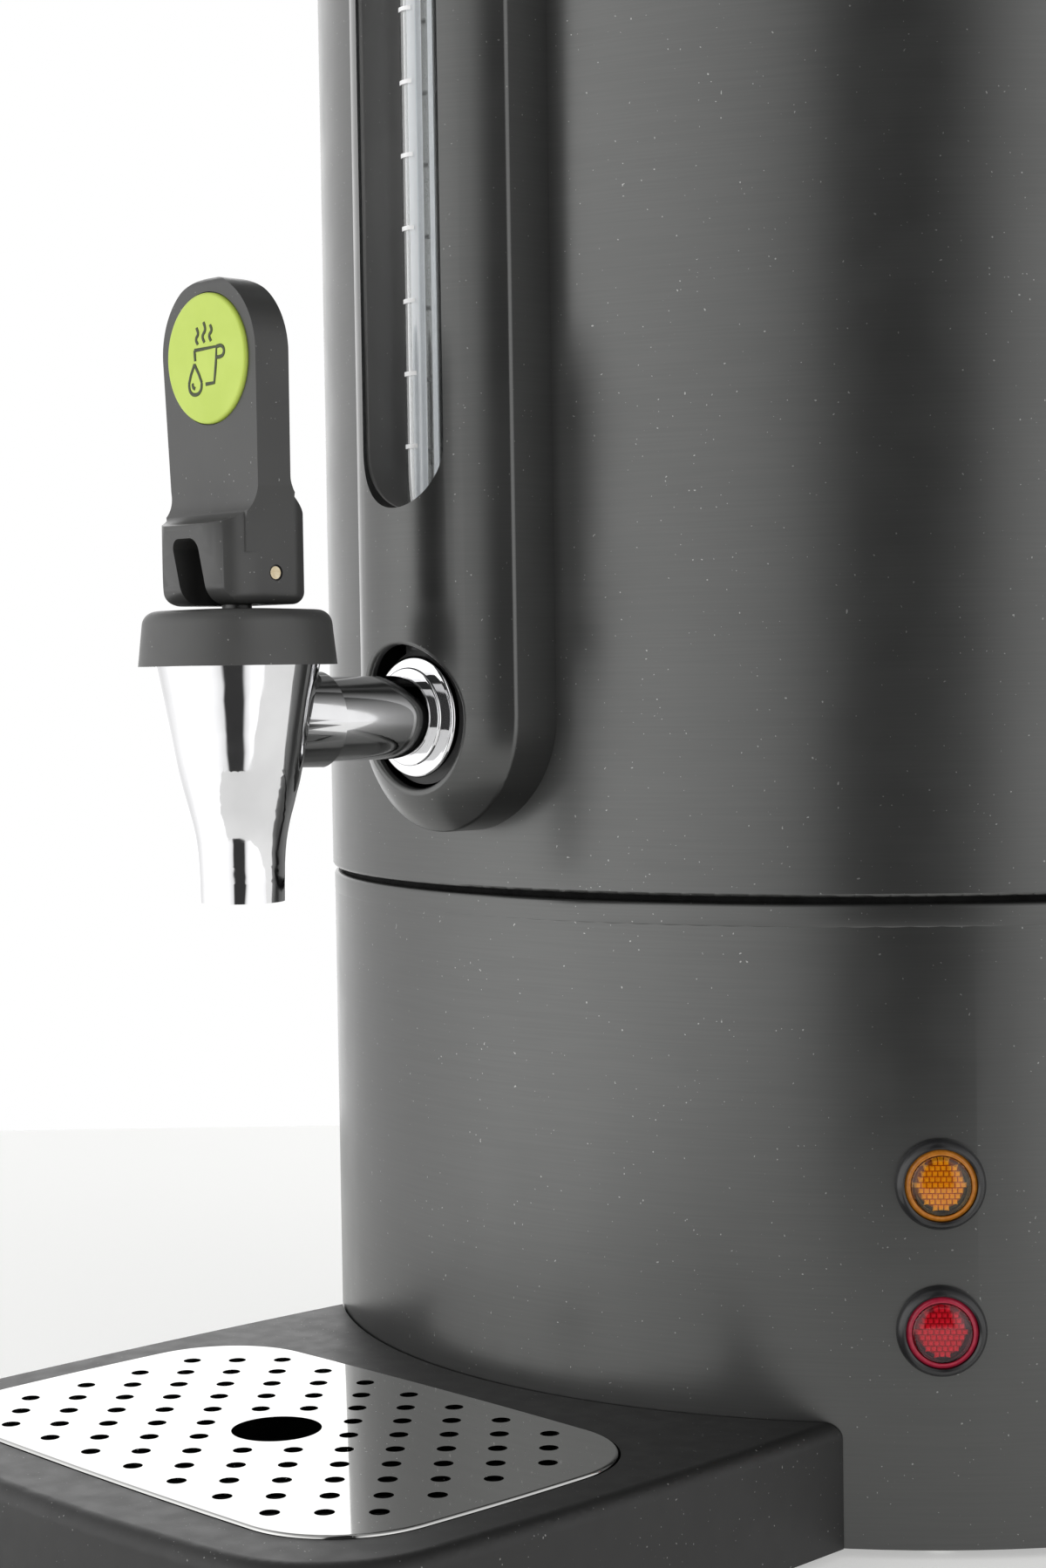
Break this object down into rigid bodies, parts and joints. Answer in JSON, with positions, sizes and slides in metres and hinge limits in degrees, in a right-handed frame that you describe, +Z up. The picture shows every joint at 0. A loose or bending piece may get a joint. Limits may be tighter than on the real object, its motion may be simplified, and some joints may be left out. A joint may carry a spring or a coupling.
{
  "type": "coffee urn",
  "caption": "Round double-walled coffee urn with a gauge column, a lever tap, a lift-out drip plate on a pull-out tray, two lamps, side handles and a lift-off lid.",
  "frame": {"origin": "on the table, under the axis of the round body", "axes": "+Z up along the body's axis; the tap and the drip tray point to -Y; +X is to the right of someone who faces the tap"},
  "size_m": [0.3578, 0.3913, 0.496],
  "materials": {
    "body_paint": "satin charcoal, fine powder texture",
    "black_plastic": "satin moulded plastic",
    "rocker_black": "glossy",
    "bezel_black": "glossy domed ring",
    "lens_amber": "translucent amber lens",
    "lens_red": "translucent red lens",
    "chrome": "polished",
    "plate_steel": "polished stainless sheet",
    "steel": "stainless",
    "brass": "turned pin",
    "aluminium": "cast",
    "gauge_glass": "clear tube",
    "scale_grey": "grey strip",
    "disc_green": "satin lime green",
    "rubber": "matt"
  },
  "bodies": {
    "urn": {"base_plate": "black_plastic", "base_screws": "steel", "base_shell": "body_paint", "basket_cover": "steel", "coffee_basket": "steel", "column_cover": "body_paint", "column_screws": "steel", "feet": "rubber", "gauge_base": "black_plastic", "gauge_scale": "scale_grey", "gauge_seals": "rubber", "gauge_tube": "gauge_glass", "handle_screws": "steel", "heater_plate": "aluminium", "heating_element": "steel", "inlet_pins": "brass", "left_handle": "black_plastic", "lower_lamp_bezel": "bezel_black", "lower_lamp_body": "black_plastic", "lower_lamp_lens": "lens_red", "lower_lamp_nut": "black_plastic", "outer_gasket": "rubber", "outer_shell": "body_paint", "percolator_tube": "steel", "power_inlet": "black_plastic", "rear_panel": "black_plastic", "right_handle": "black_plastic", "seam_ring": "black_plastic", "shank_nut": "steel", "shank_spacer": "steel", "switch_frame": "black_plastic", "tank": "steel", "tank_gaskets": "rubber", "tap_body": "chrome", "tap_bonnet": "black_plastic", "tap_flange": "chrome", "terminal_block": "black_plastic", "thermal_cutout": "steel", "thermostat": "black_plastic", "top_rim": "black_plastic", "upper_lamp_bezel": "bezel_black", "upper_lamp_body": "black_plastic", "upper_lamp_lens": "lens_amber", "upper_lamp_nut": "black_plastic"},
    "valve": {"valve_stem": "steel", "seat_cup": "rubber", "valve_spring": "steel"},
    "lever": {"lever": "black_plastic", "lever_disc": "disc_green", "lever_pin": "brass"},
    "rocker": {"switch_rocker": "rocker_black"},
    "lid": {"lid": "body_paint", "lid_knob": "black_plastic", "lid_screw": "steel"},
    "tray": {"drip_tray": "black_plastic", "tray_pads": "rubber"},
    "plate": {"drip_plate": "plate_steel"}
  },
  "joints": [
    {"name": "stem_lift", "type": "slide", "parent": "urn", "child": "valve", "axis": [0, 0, 1], "range_m": [0, 0.0067], "stiffness_N_per_m": 400, "springref_m": -0.004, "deforming": ["valve_spring"]},
    {"name": "lever_tilt", "type": "hinge", "parent": "valve", "child": "lever", "pos_m": [0, -0.1972, 0.2013], "axis": [1, 0, 0], "range_deg": [0, 90]},
    {"name": "rocker_tip", "type": "hinge", "parent": "urn", "child": "rocker", "pos_m": [0.023, 0.1335, 0.05], "axis": [1, 0, 0], "range_deg": [0, 24]},
    {"name": "lid_lift", "type": "slide", "parent": "urn", "child": "lid", "axis": [0, 0, 1], "range_m": [0, 0.12]},
    {"name": "tray_pull", "type": "slide", "parent": "urn", "child": "tray", "axis": [0, -1, 0], "range_m": [0, 0.12]},
    {"name": "plate_lift", "type": "slide", "parent": "tray", "child": "plate", "axis": [0, 0, 1], "range_m": [0, 0.05]}
  ],
  "couplings": [
    {"joint": "stem_lift", "follows": "lever_tilt", "m_per_rad": 0.004265}
  ]
}
